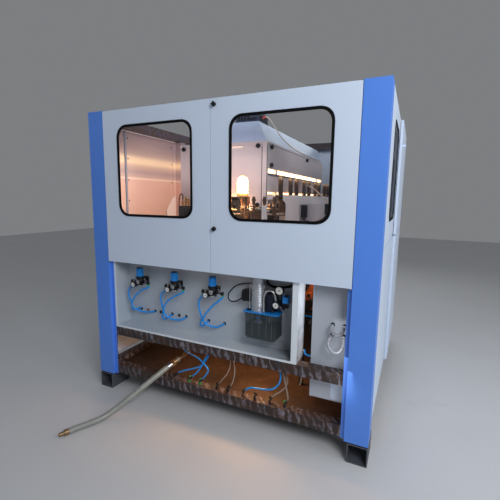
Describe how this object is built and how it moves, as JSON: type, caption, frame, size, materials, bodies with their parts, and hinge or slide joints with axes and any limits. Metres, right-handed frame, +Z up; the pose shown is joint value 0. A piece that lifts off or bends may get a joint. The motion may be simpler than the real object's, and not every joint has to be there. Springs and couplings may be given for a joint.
{
  "type": "blow moulding machine",
  "caption": "Stretch blow moulding machine: preform chain, lamp oven and blow station in a guarded steel enclosure with windowed doors, an air recess and a lubrication pump.",
  "frame": {"origin": "on the floor, under the middle of the enclosure", "axes": "+X to the right seen from the front, +Y to the back, +Z up"},
  "size_m": [2.384, 2.9547, 2.34],
  "materials": {
    "dark_steel": "satin",
    "brown_beams": "worn satin",
    "blue_paint": "satin",
    "pale_paint": "satin",
    "black_rubber": "matt",
    "clear_pane": "clear",
    "black_plastic": "matt",
    "bright_steel": "brushed",
    "white_paint": "satin",
    "grey_casting": "cast",
    "blue_plastic": "gloss",
    "blue_tube": "gloss",
    "smoked_plastic": "clear",
    "grey_plastic": "matt",
    "brass": "dull",
    "sheet_steel": "satin",
    "film_steel": "satin, under film",
    "reflector": "polished",
    "lamp_glass": "clear",
    "chain_steel": "oiled",
    "amber_plastic": "gloss"
  },
  "bodies": {
    "base": {"feet": "dark_steel", "base_rings": "brown_beams", "corner_posts": "brown_beams", "top_ring": "brown_beams", "pillars_front": "blue_paint", "pillars_rear": "blue_paint", "floor_pan": "dark_steel", "hinge_pins": "bright_steel", "side_panel_right": "pale_paint", "side_gasket": "black_rubber", "side_pane": "clear_pane", "side_panel_left": "pale_paint", "lower_panels_right": "pale_paint", "lower_panels_left": "pale_paint", "rear_panels": "pale_paint", "utility_tray": "white_paint", "regulator_bodies": "grey_casting", "gauges": "black_plastic", "regulator_tubes": "blue_tube", "pump_tank": "smoked_plastic", "pump_lid": "blue_plastic", "pump_motor": "grey_casting", "pump_valves": "black_plastic", "cabinet": "white_paint", "cabinet_conduits": "grey_plastic", "beam_fittings": "black_plastic", "beam_tubes": "blue_tube", "air_pipe": "brass", "air_hose": "grey_plastic", "hose_fitting": "bright_steel", "machine_bed": "brown_beams", "oven_frame": "dark_steel", "oven_panels": "sheet_steel", "oven_hood": "film_steel", "lamp_reflector": "reflector", "lamp_holders": "black_plastic", "ir_lamps": "lamp_glass", "conveyor_housing": "sheet_steel", "spindle_chain": "chain_steel", "preforms": "amber_plastic", "conveyor_gearmotor": "blue_paint", "clamp_frame": "dark_steel"},
    "front_door_left": {"front_door_left": "pale_paint", "front_gasket_left": "black_rubber", "front_pane_left": "clear_pane"},
    "front_door_right": {"front_door_right": "pale_paint", "front_gasket_right": "black_rubber", "front_pane_right": "clear_pane"},
    "latch_upper": {"latch_upper": "black_plastic"},
    "latch_lower": {"latch_lower": "black_plastic"},
    "side_door_right": {"side_door_right": "pale_paint"},
    "side_door_left": {"side_door_left": "pale_paint"},
    "regulator_knob_1": {"regulator_knob_1": "blue_plastic"},
    "regulator_knob_2": {"regulator_knob_2": "blue_plastic"},
    "regulator_knob_3": {"regulator_knob_3": "blue_plastic"},
    "drive_wheel": {"drive_wheel": "bright_steel"},
    "idler_wheel": {"idler_wheel": "bright_steel"},
    "mould_front": {"mould_front": "bright_steel"},
    "mould_rear": {"mould_rear": "bright_steel"},
    "stretch_carriage": {"stretch_carriage": "bright_steel"}
  },
  "joints": [
    {"name": "front_door_left_hinge", "type": "hinge", "parent": "base", "child": "front_door_left", "pos_m": [-0.977, -1.133, 1.74], "axis": [0, 0, 1], "range_deg": [-110, 0]},
    {"name": "front_door_right_hinge", "type": "hinge", "parent": "base", "child": "front_door_right", "pos_m": [0.977, -1.133, 1.74], "axis": [0, 0, 1], "range_deg": [0, 110]},
    {"name": "latch_upper_turn", "type": "hinge", "parent": "front_door_right", "child": "latch_upper", "pos_m": [0.0325, -1.14, 2.295], "axis": [0, -1, 0], "range_deg": [0, 90]},
    {"name": "latch_lower_turn", "type": "hinge", "parent": "front_door_right", "child": "latch_lower", "pos_m": [0.0325, -1.14, 1.4623], "axis": [0, -1, 0], "range_deg": [0, 90]},
    {"name": "side_door_right_hinge", "type": "hinge", "parent": "base", "child": "side_door_right", "pos_m": [1.157, 1.011, 1.86], "axis": [0, 0, 1], "range_deg": [0, 100]},
    {"name": "side_door_left_hinge", "type": "hinge", "parent": "base", "child": "side_door_left", "pos_m": [-1.157, 1.011, 1.86], "axis": [0, 0, 1], "range_deg": [-100, 0]},
    {"name": "regulator_1_turn", "type": "hinge", "parent": "base", "child": "regulator_knob_1", "pos_m": [-0.75, -1.036, 1.05], "axis": [0, 0, 1], "range_deg": [-170, 170]},
    {"name": "regulator_2_turn", "type": "hinge", "parent": "base", "child": "regulator_knob_2", "pos_m": [-0.398, -1.036, 1.05], "axis": [0, 0, 1], "range_deg": [-170, 170]},
    {"name": "regulator_3_turn", "type": "hinge", "parent": "base", "child": "regulator_knob_3", "pos_m": [-0.046, -1.036, 1.05], "axis": [0, 0, 1], "range_deg": [-170, 170]},
    {"name": "drive_wheel_spin", "type": "hinge", "parent": "base", "child": "drive_wheel", "pos_m": [0.2492, 0.8664, 1.6], "axis": [0, 0, 1], "continuous": true},
    {"name": "idler_wheel_spin", "type": "hinge", "parent": "base", "child": "idler_wheel", "pos_m": [0.2492, -0.81, 1.6], "axis": [0, 0, 1], "continuous": true},
    {"name": "mould_rear_slide", "type": "slide", "parent": "base", "child": "mould_rear", "axis": [0, 1, 0], "range_m": [0, 0.11]},
    {"name": "mould_front_slide", "type": "slide", "parent": "base", "child": "mould_front", "axis": [0, -1, 0], "range_m": [0, 0.11]},
    {"name": "stretch_slide", "type": "slide", "parent": "base", "child": "stretch_carriage", "axis": [0, 0, -1], "range_m": [0, 0.13]}
  ],
  "couplings": [
    {"joint": "mould_front_slide", "follows": "mould_rear_slide", "ratio": 1},
    {"joint": "idler_wheel_spin", "follows": "drive_wheel_spin", "ratio": 1}
  ]
}
